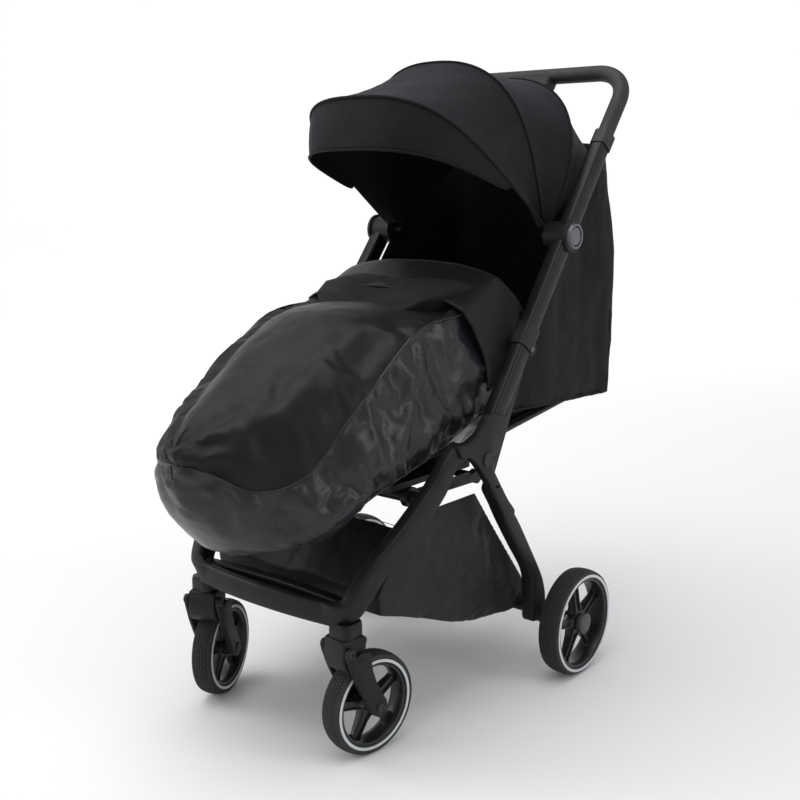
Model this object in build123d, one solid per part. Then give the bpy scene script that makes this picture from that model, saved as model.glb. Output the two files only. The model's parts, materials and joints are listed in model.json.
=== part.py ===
from build123d import *
from math import atan2, cos, degrees, radians, sin, sqrt
import os

# Folding baby stroller in millimetres: +Z up, front towards -Y, the child's left towards +X.
# The origin is on the floor, under the middle of the stroller's box.

# Main folding hub, and the line of the push tubes that rises back from it.
HUB_Y = -15.0
HUB_Z = 400.0
TUBE_ANGLE = 52.6
TUBE_LENGTH = 570.0
TUBE_X_LOW = 192.5
TUBE_X_HIGH = 185.0
TUBE_WIDE = 24.0
TUBE_DEEP = 30.0
KNUCKLE_R = 30.0
NECK_END = 52.0
HUB_PIN_R = 6.0
RUNNING = 0.05

# Layers of the hub along X, from the inside out.
FRONT_KNUCKLE_X = (180.0, 192.5)
TUBE_KNUCKLE_X = (193.0, 205.5)
CHEEK_X = (206.0, 212.0)

# Handle.
HANDLE_S = 729.0
HANDLE_BEND_R = 62.0
HANDLE_TUBE_R = 13.5

# Seat link, seat frame and backrest.
LINK_S = 208.0
LINK_N = 36.9
LINK_X = (171.0, 177.0)
SEAT_PIVOT = (-116.0, 355.0)
SEAT_REAR = (45.0, 352.0)
CROSS_TUBE_R = 9.0
RAIL_X = (142.0, 153.0)
BACK_ANGLE = 7.5
BACK_X = 160.0
BACK_TUBE_R = 5.0
BACK_REACH = 432.0

# Canopy ribs: name, angle in the side view, half width, radius at the top.
CANOPY_S = 395.0
CANOPY_HUB_R = 22.5
CANOPY_HUB_X = (160.5, 204.0)
RIB_R = 1.9
RIBS = {
    "front": (142.0, 157.5, 336.0),
    "middle": (88.7, 153.5, 270.0),
    "rear": (53.0, 149.5, 288.0),
}
VISOR_ANGLE = 157.0
FABRIC = 2.6

# Front wheels on casters.
CASTER_X = 143.0
CASTER_Y = -250.0
TRAIL = 40.0
LEFT_SWIVEL = degrees(-0.131)
RIGHT_SWIVEL = degrees(0.386)
FRONT_R = 75.0
FRONT_TYRE_HALF = 15.5
FORK_HALF = 22.0
ARM_PIVOT = (-14.0, 171.0)
ARM_U = (22.6, 29.6)
FRONT_AXLE_R = 5.0

# Rear wheels on one axle.
REAR_Y = 205.0
REAR_R = 87.5
REAR_X = 240.0
REAR_TYRE_HALF = 18.0
REAR_TUBE_R = 8.0
REAR_STUB_R = 5.0

# Soft seat, muff and basket.
MUFF_HALF = 169.0
BASKET_HALF = 166.0
BACK_WALL_HALF = 169.5


def write(name, shape):
    """Write one node, keeping separate solids apart."""
    solids = shape.solids()
    if len(solids) == 1:
        shape = solids[0]
    else:
        shape = Compound(children=list(solids))
    export_step(shape, f"parts/{name}.step")


def mirrored(shape):
    """The same piece on the child's right."""
    return shape.mirror(Plane.YZ)


def both(shape):
    """A piece and its mirror image as separate solids."""
    return Compound(children=[*shape.solids(), *mirrored(shape).solids()])


def write_pair(name, shape):
    write(f"{name}_left", shape)
    write(f"{name}_right", mirrored(shape))


def on_tube(s, n=0.0):
    """Side-view point a distance s up the push tube's line and n behind it."""
    a = radians(TUBE_ANGLE)
    return (HUB_Y + s * cos(a) + n * sin(a), HUB_Z + s * sin(a) - n * cos(a))


def x_cylinder(radius, x0, x1, y, z):
    """A cylinder along X between two x values."""
    face = Plane(origin=(x0, y, z), x_dir=(0, 1, 0), z_dir=(1, 0, 0)) * Circle(radius)
    return extrude(face, x1 - x0)


def side_prism(points, x0, x1):
    """A side-view outline of straight lines, extruded along X."""
    line = Polyline(*[(x0, y, z) for y, z in points], close=True)
    return extrude(make_face(line), x1 - x0, dir=(1, 0, 0))


def limb(stations):
    """A smooth tapering bar through stations of x, y, z, width along X and depth across."""
    sections = []
    last = len(stations) - 1
    for i, (x, y, z, wide, deep) in enumerate(stations):
        before = stations[max(i - 1, 0)]
        after = stations[min(i + 1, last)]
        run = (0, after[1] - before[1], after[2] - before[2])
        corner = 0.32 * min(wide, deep)
        plane = Plane(origin=(x, y, z), x_dir=(1, 0, 0), z_dir=run)
        sections.append(plane * RectangleRounded(wide, deep, corner))
    return loft(sections)


def spin(radius, x0, x1):
    """A disc or sleeve centred on the hub's axis."""
    return x_cylinder(radius, x0, x1, HUB_Y, HUB_Z)


# ---- chassis: front legs, footrest, cross tube ----


def front_leg():
    stations = [
        (193.0, -64, 386, 25, 31),
        (191.0, -118, 366, 25, 34),
        (181.0, -178, 314, 24, 35),
        (168.0, -214, 281, 24, 36),
        (154.0, -240, 243, 24, 38),
        (150.0, -246, 226, 24, 38),
    ]
    leg = limb(stations)
    leg -= Pos(150, -240, 136.6) * Box(120, 120, 200)
    neck_x = sum(FRONT_KNUCKLE_X) / 2
    neck_w = FRONT_KNUCKLE_X[1] - FRONT_KNUCKLE_X[0]
    neck = Pos(neck_x, (HUB_Y - 72) / 2, 392) * Box(neck_w, abs(-72 - HUB_Y), 30)
    neck = neck.rotate(Axis((0, HUB_Y, HUB_Z), (1, 0, 0)), 8)
    leg += neck
    leg -= spin(NECK_END, TUBE_KNUCKLE_X[0] - 0.5, 230)
    leg += spin(KNUCKLE_R, *FRONT_KNUCKLE_X)
    leg -= spin(HUB_PIN_R, 150, 230)
    cross_half = 260.0
    leg -= x_cylinder(CROSS_TUBE_R, -cross_half, cross_half, *SEAT_PIVOT)
    return leg


def column_upper():
    return Pos(144, -246.5, 219.8) * Box(32, 31, 33)


def footrest():
    """Crescent bar across the front with a raised outer lip and a tray behind it."""
    x0, y0 = 166.0, -222.0
    outer = Line((x0, y0), (x0, -238))
    corner = ThreePointArc((x0, -238), (156, -262), (128, -269.5))
    front = ThreePointArc((128, -269.5), (0, -281), (-128, -269.5))
    corner_2 = ThreePointArc((-128, -269.5), (-156, -262), (-x0, -238))
    outer_2 = Line((-x0, -238), (-x0, y0))
    inner_2 = Line((-x0, y0), (-118, y0))
    inner = ThreePointArc((-118, y0), (0, -212), (118, y0))
    inner_3 = Line((118, y0), (x0, y0))
    plan = make_face([outer, corner, front, corner_2, outer_2, inner_2, inner, inner_3])
    bar = extrude(Plane.XY.offset(203.5) * plan, 32.7)
    bar = fillet(bar.edges().group_by(Axis.Z)[0].filter_by(lambda e: e.center().Y < -255), 9)
    tray = ThreePointArc((-112, -228), (0, -265), (112, -228))
    tray_back = ThreePointArc((112, -228), (0, -216), (-112, -228))
    bar -= extrude(Plane.XY.offset(212) * make_face([tray, tray_back]), 40)
    bar -= column_upper()
    bar -= mirrored(column_upper())
    return bar


def caster_column():
    lower = Pos(CASTER_X, CASTER_Y, 194.8) * Box(38, 38, 17)
    lower = fillet(lower.edges().filter_by(Axis.Z), 7)
    column = lower + column_upper()
    pin = Pos(CASTER_X, CASTER_Y, 205) * Cylinder(8 + RUNNING, 60)
    return column - pin


def cross_tube():
    # The front seat tube runs between the two front legs.
    reach = 190.0
    return x_cylinder(CROSS_TUBE_R, -reach, reach, *SEAT_PIVOT)


def hub_pin():
    pin = spin(HUB_PIN_R, 158.0, 212.6)
    head = spin(11.0, 212.6, 215.0)
    return pin + head


def basket():
    """Sagging carrier slung between the footrest and the rear axle, open above."""
    outer = [
        (-206, 236), (-140, 318), (-92, 334), (20, 334), (90, 244),
        (182, 128), (178, 112), (110, 112), (35, 122), (-38, 144),
        (-150, 188), (-204, 206),
    ]
    inner = [
        (-198, 238), (-134, 324), (-88, 350), (26, 350), (98, 244),
        (190, 132), (170, 116), (110, 116), (36, 126), (-36, 148),
        (-148, 192), (-198, 210),
    ]
    shell = side_prism(outer, -BASKET_HALF, BASKET_HALF)
    hollow = side_prism(inner, -BASKET_HALF + 3, BASKET_HALF - 3)
    return shell - hollow


# ---- rear frame ----


def rear_leg():
    """Moulded leg whose flat cheek covers the folding hub."""
    stations = [
        (202.5, 8, 370, 19, 30),
        (200.0, 36, 330, 22, 30),
        (198.0, 64, 292, 24, 29),
        (192.0, 150, 181, 24, 28),
        (187.0, 174, 132, 24, 28),
        (186.0, 180, 106, 24, 28),
    ]
    leg = limb(stations)
    cheek = spin(33.0, *CHEEK_X)
    tube_arm = limb_plate(HUB_Y, HUB_Z, *on_tube(74), 33)
    front_arm = limb_plate(HUB_Y, HUB_Z, -66, 385, 33)
    leg_arm = limb_plate(HUB_Y, HUB_Z, 36, 330, 34)
    leg += cheek + tube_arm + front_arm + leg_arm
    leg -= spin(KNUCKLE_R + 0.6, 150, CHEEK_X[0])
    leg -= spin(NECK_END, 150, TUBE_KNUCKLE_X[0])
    leg -= spin(HUB_PIN_R + RUNNING, 150, 230)
    return leg


def limb_plate(y0, z0, y1, z1, wide):
    """A flat bar of the hub's cheek between two side-view points."""
    length = sqrt((y1 - y0) ** 2 + (z1 - z0) ** 2)
    turn = degrees(atan2(z1 - z0, y1 - y0))
    thick = CHEEK_X[1] - CHEEK_X[0]
    bar = Pos((CHEEK_X[0] + CHEEK_X[1]) / 2, length / 2, 0) * Box(thick, length, wide)
    bar = bar.rotate(Axis.X, turn)
    return Pos(0, y0, z0) * bar


def axle_bracket():
    ring = x_cylinder(16.0, 176, 196, REAR_Y, REAR_R)
    block = side_prism([(167, 103), (193, 103), (212, 100), (205, 72), (172, 84)], 176, 196)
    return ring + block - x_cylinder(REAR_TUBE_R, 150, 230, REAR_Y, REAR_R)


def rear_axle():
    tube = x_cylinder(REAR_TUBE_R, -200, 200, REAR_Y, REAR_R)
    stub = x_cylinder(REAR_STUB_R, -250, 250, REAR_Y, REAR_R)
    return tube + stub


def brake_pedal():
    sleeve = x_cylinder(13.0, -36, 36, REAR_Y, REAR_R)
    plate = Pos(0, REAR_Y + 34, REAR_R + 9) * Box(72, 52, 6)
    plate = fillet(plate.edges().filter_by(Axis.Z), 10)
    plate = plate.rotate(Axis((0, REAR_Y, REAR_R), (1, 0, 0)), 12)
    return sleeve + plate - x_cylinder(REAR_TUBE_R + RUNNING, -50, 50, REAR_Y, REAR_R)


# ---- wheels, made at the origin with the axle along X ----


def ring_of(r0, r1, x0, x1):
    outer = x_cylinder(r1, x0, x1, 0, 0)
    return outer - x_cylinder(r0, x0 - 1, x1 + 1, 0, 0)


def tyre(outer, inner, half):
    """Rounded tyre section turned about X."""
    a = (-half, 0, inner)
    b = (-half, 0, outer - 6)
    c = (-half * 0.62, 0, outer - 1.2)
    d = (half * 0.62, 0, outer - 1.2)
    e = (half, 0, outer - 6)
    f = (half, 0, inner)
    shoulder = ThreePointArc(b, (-half * 0.92, 0, outer - 2.6), c)
    crown = ThreePointArc(c, (0, 0, outer), d)
    shoulder_2 = ThreePointArc(d, (half * 0.92, 0, outer - 2.6), e)
    section = make_face([Line(a, b), shoulder, crown, shoulder_2, Line(e, f), Line(f, a)])
    return revolve(section, Axis.X)


def rim(bead, half, hub_r, bore, hub_half):
    barrel = ring_of(bead - 6, bead, -half, half)
    web = ring_of(hub_r, bead - 5, -5, 5)
    for k in range(5):
        gap = Polyline((0, hub_r + 5), (bead * 0.42, bead), (-bead * 0.42, bead), close=True)
        hole = extrude(Plane.YZ.offset(-8) * make_face(gap), 16)
        hole = hole & ring_of(hub_r + 6, bead - 6, -8, 8)
        web -= hole.rotate(Axis.X, 36 + 72 * k)
    boss = ring_of(bore, hub_r, -hub_half, hub_half)
    return barrel + web + boss


def trim_rings(r0, r1, half):
    """Reflective band on both side faces of a tyre's bead."""
    one = ring_of(r0, r1, half, half + 0.8)
    return Compound(children=[*one.solids(), *mirrored(one).solids()])


def front_wheel():
    bead = 60.0
    body = tyre(FRONT_R, bead, FRONT_TYRE_HALF)
    wheel = rim(bead, 13.5, 13.0, FRONT_AXLE_R + RUNNING, 20.0)
    return body, wheel, trim_rings(62.0, 66.0, FRONT_TYRE_HALF)


def rear_wheel():
    bead = 74.0
    body = tyre(REAR_R, bead, REAR_TYRE_HALF)
    wheel = rim(bead, 16.0, 15.0, REAR_STUB_R + RUNNING, 16.0)
    collar = ring_of(REAR_STUB_R + RUNNING, 12.0, -38.0, -15.0)
    cap = x_cylinder(17.0, 16.0, 21.5, 0, 0)
    pocket = x_cylinder(REAR_STUB_R + 1, 10.0, 18.0, 0, 0)
    return body, wheel + collar + cap - pocket, trim_rings(76.5, 80.8, REAR_TYRE_HALF)


# ---- caster parts, made with the swivel axis on Z at the origin, wheel trailing to +Y ----


def fork():
    """Hood over the tyre, with a cheek down each side."""
    body = Pos(0, -3, 156) * Box(2 * FORK_HALF, 38, 60)
    body = fillet(body.edges().filter_by(Axis.Z), 8)
    taper = Polyline((-23, 144), (-23, 120), (18, 120), (18, 158), (2, 140), (-14, 126), close=True)
    body -= extrude(Plane.YZ.offset(-30) * make_face(taper), 60)
    body -= x_cylinder(FRONT_R + 4, -18.2, 18.2, TRAIL, FRONT_R)
    return body - x_cylinder(4.0, -40, 40, *ARM_PIVOT)


def swivel_pin():
    # The pin stands in the fork's top and turns in the column.
    return Pos(0, 0, 209.5) * Cylinder(8, 47)


def pivot_pins():
    one = x_cylinder(4.0, 18.3, 31.5, *ARM_PIVOT)
    head = x_cylinder(6.5, 29.9, 31.5, *ARM_PIVOT)
    return both(one + head)


def arms():
    """Suspension arm on each side of the wheel, from its pivot to the axle."""
    plane = Plane(origin=(ARM_U[0], 0, 0), x_dir=(0, 1, 0), z_dir=(1, 0, 0))
    top = Pos(*ARM_PIVOT) * Circle(8.5)
    middle = Pos(1, 142) * Circle(14.5)
    low = Pos(TRAIL, FRONT_R) * Circle(12.5)
    upper = make_hull([*top.edges(), *middle.edges()])
    lower = make_hull([*middle.edges(), *low.edges()])
    plate = extrude(plane * (upper + lower), ARM_U[1] - ARM_U[0])
    plate -= x_cylinder(4.0 + RUNNING, 10, 40, *ARM_PIVOT)
    plate -= x_cylinder(FRONT_AXLE_R, 10, 40, TRAIL, FRONT_R)
    return both(plate)


def front_axle():
    return x_cylinder(FRONT_AXLE_R, -31.0, 31.0, TRAIL, FRONT_R)


def placed(shape, side):
    """Move a caster piece to its column, at the angle it stands at."""
    turn = LEFT_SWIVEL if side > 0 else RIGHT_SWIVEL
    return Pos(side * CASTER_X, CASTER_Y, 0) * Rot(0, 0, turn) * shape


# ---- push frame ----


def tube_plane(x, s, n=0.0):
    """Plane across the push tube at a distance s along it."""
    a = radians(TUBE_ANGLE)
    y, z = on_tube(s, n)
    return Plane(origin=(x, y, z), x_dir=(1, 0, 0), z_dir=(0, cos(a), sin(a)))


def tube_x(s):
    return TUBE_X_LOW + (TUBE_X_HIGH - TUBE_X_LOW) * s / TUBE_LENGTH


def tube_bar(s0, s1, wide, deep):
    first = tube_plane(tube_x(s0), s0) * RectangleRounded(wide, deep, 7)
    second = tube_plane(tube_x(s1), s1) * RectangleRounded(wide, deep, 7)
    return loft([first, second])


def push_tube():
    tube = tube_bar(NECK_END, TUBE_LENGTH, TUBE_WIDE, TUBE_DEEP)
    mid = sum(TUBE_KNUCKLE_X) / 2
    wide = TUBE_KNUCKLE_X[1] - TUBE_KNUCKLE_X[0]
    neck = extrude(tube_plane(mid, 0) * Rectangle(wide, 28), NECK_END + 12)
    tube += neck + spin(KNUCKLE_R, *TUBE_KNUCKLE_X)
    tube -= spin(HUB_PIN_R + RUNNING, 150, 230)
    tube -= spin(90, TUBE_KNUCKLE_X[1], 230)
    return tube


def link_collar():
    """Sleeve on the push tube with a lug behind it for the seat link."""
    x = tube_x(LINK_S)
    sleeve = extrude(tube_plane(x, LINK_S - 19) * RectangleRounded(29, 35, 8), 38)
    y, z = on_tube(LINK_S, LINK_N)
    lug = x_cylinder(11, LINK_X[1] + 0.4, 186, y, z)
    web = extrude(tube_plane(182, LINK_S - 11, LINK_N / 2 + 4) * Rectangle(8, LINK_N - 8), 22)
    collar = sleeve + lug + web
    bore = x_cylinder(4.0, 150, 200, y, z)
    return collar - bore - tube_bar(LINK_S - 60, LINK_S + 60, TUBE_WIDE, TUBE_DEEP)


def link_pin():
    y, z = on_tube(LINK_S, LINK_N)
    return x_cylinder(4.0, 168.8, 186, y, z)


def handle():
    """One bent tube: two short sides, two bends and the grip across the top."""
    a = radians(TUBE_ANGLE)
    plane = Plane(origin=(0, HUB_Y, HUB_Z), x_dir=(1, 0, 0), z_dir=(0, -sin(a), cos(a)))
    half = TUBE_X_HIGH
    low = TUBE_LENGTH + 0.2
    bend = HANDLE_S - HANDLE_BEND_R
    path = Polyline((-half, low), (-half, HANDLE_S), (half, HANDLE_S), (half, low))
    path = fillet(path.vertices().filter_by(lambda v: v.Y > bend), HANDLE_BEND_R)
    path = plane * path
    start = tube_plane(-half, low) * Circle(HANDLE_TUBE_R)
    grip = sweep(start, path)
    for side in (-1, 1):
        grip += extrude(tube_plane(side * half, low) * RectangleRounded(29, 33, 9), 26)
    return grip


def trigger_housing():
    """Box under the middle of the grip that holds the fold trigger."""
    body = extrude(tube_plane(0, HANDLE_S - 28, 2) * RectangleRounded(76, 30, 9), 20)
    a = radians(TUBE_ANGLE)
    y, z = on_tube(HANDLE_S)
    body -= x_cylinder(HANDLE_TUBE_R, -60, 60, y, z)
    return body - extrude(tube_plane(0, HANDLE_S - 30, 2) * RectangleRounded(40.2, 18.2, 6), 17)


def trigger():
    return extrude(tube_plane(0, HANDLE_S - 31.5, 2) * RectangleRounded(40, 18, 6), 13)


def canopy_hub():
    """Barrel clamped round the push tube, with an outer cap and an inner pivot for the ribs."""
    y, z = on_tube(CANOPY_S)
    barrel = x_cylinder(CANOPY_HUB_R, CANOPY_HUB_X[0], 199, y, z)
    cap = x_cylinder(26.0, 199, CANOPY_HUB_X[1], y, z)
    cap -= x_cylinder(15.1, 200.5, 230, y, z)
    pivot = x_cylinder(4.0, 146.0, 165, y, z)
    hub = barrel + cap + pivot
    return hub - tube_bar(CANOPY_S - 60, CANOPY_S + 60, TUBE_WIDE, TUBE_DEEP)


def canopy_button():
    y, z = on_tube(CANOPY_S)
    button = x_cylinder(15.0, 203.7, 208.5, y, z)
    return fillet(button.edges().group_by(Axis.X)[-1], 3)


# ---- canopy ----


def fan_plane(angle):
    """Plane through the canopy hubs' axis, its Y along a direction in the side view."""
    a = radians(angle)
    y, z = on_tube(CANOPY_S)
    return Plane(origin=(0, y, z), x_dir=(1, 0, 0), z_dir=(0, -sin(a), cos(a)))


def rib(angle, half, top):
    plane = fan_plane(angle)
    turns = [radians(15 * k) for k in range(13)]
    points = [(half * cos(t), top * sin(t)) for t in turns]
    path = plane * Spline(*points, tangents=[(0, 1), (0, -1)])
    a = radians(angle)
    y, z = on_tube(CANOPY_S)
    start = Plane(origin=(half, y, z), x_dir=(1, 0, 0), z_dir=(0, cos(a), sin(a)))
    hoop = sweep(start * Circle(RIB_R), path)
    for side in (-1, 1):
        hoop += x_cylinder(9.0, side * half - 1.8, side * half + 1.8, y, z)
        hoop -= x_cylinder(4.0 + RUNNING, side * half - 6, side * half + 6, y, z)
    return hoop


def arch_face(angle, half, top, low):
    """Half-ellipse face standing on a chord a distance low above the hubs' axis."""
    t = degrees(atan2(low / top, sqrt(1 - (low / top) ** 2)))
    arc = EllipticalCenterArc((0, 0), half, top, t, arc_size=180 - 2 * t)
    face = make_face([arc, Line(arc @ 1, arc @ 0)])
    return fan_plane(angle) * face


def canopy_sheet(first, second):
    """Fabric stretched over two ribs, open below."""
    shapes = []
    for grow, low in ((RIB_R + 1.8 + FABRIC, 32.0), (RIB_R + 1.8, 20.0)):
        ends = []
        for angle, half, top in (first, second):
            ends.append(arch_face(angle, half + grow, top + grow, low))
        shapes.append(loft(ends, ruled=True))
    return shapes[0] - shapes[1]


def visor():
    """Stiff peak in front of the first rib, deepest in the middle."""
    angle, half, top = RIBS["front"]
    gap = 0.9
    sheet = canopy_sheet((angle + gap, half, top), (VISOR_ANGLE, half, top))
    y, z = on_tube(CANOPY_S)
    a = radians(angle)
    cut = Plane(origin=(0, y, z), x_dir=(1, 0, 0), z_dir=(0, cos(a), sin(a)))
    return sheet - extrude(cut * Rectangle(500, 500), 175)


# ---- seat ----


def seat_frame():
    """Two side rails on the front cross tube, joined by the rear seat tube."""
    cy, cz = SEAT_PIVOT
    ry, rz = SEAT_REAR
    frame = x_cylinder(6.0, -RAIL_X[1], RAIL_X[1], ry, rz)
    for x0 in (RAIL_X[0], -RAIL_X[1]):
        x1 = x0 + RAIL_X[1] - RAIL_X[0]
        rail = side_prism([(cy, cz - 7), (cy, cz + 7), (ry, rz + 7), (ry, rz - 7)], x0, x1)
        rail += x_cylinder(15.0, x0, x1, cy, cz) + x_cylinder(11.0, x0, x1, ry, rz)
        frame += rail
    return frame - x_cylinder(CROSS_TUBE_R + RUNNING, -200, 200, cy, cz)


def seat_board():
    board = Pos(0, -66, 375.2) * Box(2 * 150, 212, 9)
    return fillet(board.edges().filter_by(Axis.Z), 18)


def muff():
    """Padded foot muff that fills the seat and hangs over its front edge."""
    outline = [
        (-60, 382), (-150, 386), (-240, 384), (-262, 352), (-300, 322), (-352, 304),
        (-398, 318), (-430, 376), (-441.3, 430), (-423, 478), (-360, 540), (-250, 588),
        (-150, 622), (-20, 672), (85, 690), (118, 640), (150, 560), (140, 500),
        (96, 440), (30, 404),
    ]
    body = side_prism(outline, -MUFF_HALF, MUFF_HALF)
    body = chamfer(body.edges().filter_by(lambda e: abs(e.center().X) > MUFF_HALF - 1), 24)
    # The foot end narrows to a blunt nose in plan.
    flank = [(MUFF_HALF, 200), (MUFF_HALF, -165), (160, -222), (146, -275), (124, -328), (92, -380), (52, -424)]
    nose = [(-x, y) for x, y in reversed(flank)]
    plan = make_face(Polyline(*flank, (0, -441.3), *nose, close=True))
    body = body & extrude(Plane.XY.offset(250) * plan, 500)
    clear = [(-36, 370), (180, 370), (180, 446), (96, 438), (-36, 424)]
    room = side_prism(clear, 153, 200)
    return body - room - mirrored(room)


def back_frame():
    """Bent tube of the reclining backrest, hung on the main hubs' pins."""
    a = radians(BACK_ANGLE)
    plane = Plane(origin=(0, HUB_Y, HUB_Z), x_dir=(1, 0, 0), z_dir=(0, -sin(a), cos(a)))
    path = Polyline((-BACK_X, 14), (-BACK_X, BACK_REACH), (BACK_X, BACK_REACH), (BACK_X, 14))
    path = plane * fillet(path.vertices().filter_by(lambda v: v.Y > 100), 50)
    y, z = HUB_Y + 14 * cos(a), HUB_Z + 14 * sin(a)
    start = Plane(origin=(-BACK_X, y, z), x_dir=(1, 0, 0), z_dir=(0, cos(a), sin(a)))
    frame = sweep(start * Circle(BACK_TUBE_R), path)
    for side in (-1, 1):
        frame += spin(15.0, side * BACK_X - 4, side * BACK_X + 4)
    return frame - spin(HUB_PIN_R + RUNNING, -200, 200)


def back_point(r, n):
    """Side-view point a distance r along the backrest and n above it."""
    a = radians(BACK_ANGLE)
    return (HUB_Y + r * cos(a) - n * sin(a), HUB_Z + r * sin(a) + n * cos(a))


def back_board():
    corners = [back_point(92, -4), back_point(422, -4), back_point(422, 4), back_point(92, 4)]
    board = side_prism(corners, -153, 153)
    return chamfer(board.edges().filter_by(lambda e: e.center().Y > 400 and abs(e.center().X) > 150), 42)


def back_pad():
    corners = [back_point(166, 4.3), back_point(418, 4.3), back_point(412, 24), back_point(172, 24)]
    pad = side_prism(corners, -148, 148)
    return chamfer(pad.edges().filter_by(lambda e: e.center().Y > 385 and abs(e.center().X) > 145), 42)


def back_wall():
    """Fabric sides and rear wall between the backrest, the tubes and the canopy."""
    outer = [
        back_point(120, -13), back_point(300, -13), (424, 434), (438, 520),
        (432, 700), (418, 860), (300, 800), (262, 700), (180, 590), (132, 520), (100, 450),
    ]
    inner = [
        back_point(110, -9.6), back_point(300, -9.6), (420, 438), (434, 520),
        (428, 700), (412, 900), (290, 900), (200, 700), (100, 590), (60, 520), (40, 450),
    ]
    shell = side_prism(outer, -BACK_WALL_HALF, BACK_WALL_HALF)
    return shell - side_prism(inner, 3 - BACK_WALL_HALF, BACK_WALL_HALF - 3)


def seat_link():
    """Flat bar from the collar's lug down to the rear seat tube."""
    y0, z0 = on_tube(LINK_S, LINK_N)
    y1, z1 = SEAT_REAR
    length = sqrt((y1 - y0) ** 2 + (z1 - z0) ** 2)
    turn = degrees(atan2(z1 - z0, y1 - y0))
    x = sum(LINK_X) / 2
    bar = Pos(x, length / 2, 0) * Box(LINK_X[1] - LINK_X[0], length, 13)
    link = Pos(0, y0, z0) * bar.rotate(Axis.X, turn)
    link += x_cylinder(9.0, *LINK_X, y0, z0) + x_cylinder(9.0, *LINK_X, y1, z1)
    link -= x_cylinder(4.0 + RUNNING, 150, 200, y0, z0)
    return link


def main():
    os.makedirs("parts", exist_ok=True)
    write_pair("front_leg", front_leg())
    write("footrest_bar", footrest())
    write_pair("caster_column", caster_column())
    write("seat_cross_tube", cross_tube())
    write("hub_pins", both(hub_pin()))
    write("basket", basket())

    write_pair("rear_leg", rear_leg())
    write("axle_brackets", both(axle_bracket()))
    write("rear_axle", rear_axle())
    write("brake_pedal", brake_pedal())

    body, wheel, bands = rear_wheel()
    for name, shape in (("tyre", body), ("rim", wheel), ("reflective_rings", bands)):
        write_pair(f"rear_{name}", Pos(REAR_X, REAR_Y, REAR_R) * shape)

    body, wheel, bands = front_wheel()
    for side, word in ((1, "left"), (-1, "right")):
        write(f"caster_fork_{word}", placed(fork(), side))
        write(f"swivel_pin_{word}", placed(swivel_pin(), side))
        write(f"suspension_pins_{word}", placed(pivot_pins(), side))
        write(f"suspension_arms_{word}", placed(arms(), side))
        write(f"front_axle_{word}", placed(front_axle(), side))
        for name, shape in (("tyre", body), ("rim", wheel), ("reflective_rings", bands)):
            write(f"front_{name}_{word}", placed(Pos(0, TRAIL, FRONT_R) * shape, side))

    write_pair("push_tube", push_tube())
    write("link_collars", both(link_collar()))
    write("link_pins", both(link_pin()))
    write("handle", handle())
    write("trigger_housing", trigger_housing())
    write("fold_trigger", trigger())
    write("canopy_hubs", both(canopy_hub()))
    write_pair("canopy_button", canopy_button())
    write("seat_links", both(seat_link()))

    for name, (angle, half, top) in RIBS.items():
        write(f"canopy_rib_{name}", rib(angle, half, top))
    write("canopy_visor", visor())
    write("canopy_panel_front", canopy_sheet(RIBS["front"], RIBS["middle"]))
    write("canopy_panel_rear", canopy_sheet(RIBS["middle"], RIBS["rear"]))

    write("seat_frame", seat_frame())
    write("seat_board", seat_board())
    write("foot_muff", muff())
    write("backrest_frame", back_frame())
    write("backrest_board", back_board())
    write("backrest_pad", back_pad())
    write("back_wall", back_wall())


main()
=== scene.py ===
import bmesh
import bpy
import json
from math import atan2, cos, pi, radians, sin, sqrt
import numpy as np
from mathutils import Matrix, Vector, kdtree, noise

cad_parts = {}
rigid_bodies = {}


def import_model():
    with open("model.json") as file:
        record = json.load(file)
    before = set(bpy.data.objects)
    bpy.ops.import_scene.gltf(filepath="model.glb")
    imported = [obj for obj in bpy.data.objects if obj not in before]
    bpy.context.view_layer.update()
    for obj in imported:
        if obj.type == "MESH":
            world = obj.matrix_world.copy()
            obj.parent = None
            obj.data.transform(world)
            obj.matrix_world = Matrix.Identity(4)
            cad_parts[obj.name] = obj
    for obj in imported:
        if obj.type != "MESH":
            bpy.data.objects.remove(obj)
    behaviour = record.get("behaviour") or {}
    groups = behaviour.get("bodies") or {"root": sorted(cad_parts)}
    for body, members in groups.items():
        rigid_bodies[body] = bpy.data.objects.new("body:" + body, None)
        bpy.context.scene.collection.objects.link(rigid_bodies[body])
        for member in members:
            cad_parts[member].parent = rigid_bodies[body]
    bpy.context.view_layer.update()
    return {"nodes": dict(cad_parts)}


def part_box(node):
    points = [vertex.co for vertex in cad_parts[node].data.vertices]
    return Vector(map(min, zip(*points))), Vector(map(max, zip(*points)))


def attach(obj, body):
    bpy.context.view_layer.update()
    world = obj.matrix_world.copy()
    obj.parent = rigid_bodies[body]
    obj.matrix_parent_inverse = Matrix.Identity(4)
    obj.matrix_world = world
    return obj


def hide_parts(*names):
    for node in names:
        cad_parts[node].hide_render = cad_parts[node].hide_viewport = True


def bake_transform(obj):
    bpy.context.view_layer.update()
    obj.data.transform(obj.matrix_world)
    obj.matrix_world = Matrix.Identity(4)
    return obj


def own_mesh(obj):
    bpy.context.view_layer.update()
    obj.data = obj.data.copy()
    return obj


# Looks of a black folding stroller: metres, +Z up, front towards -Y, the child's left towards +X.
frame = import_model()

# ---- shared places: the folding hub at the foot of the push tubes, and the canopy's hub ----

LEG_HUB = (-0.015, 0.400)
TUBE_LEAN = radians(52.6)
HUB_Y, HUB_Z = 0.2249, 0.7138
CANOPY_HUB = np.array([0, HUB_Y, HUB_Z])
SIDES = {"left": 1, "right": -1}

# ---- camera ----

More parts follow.
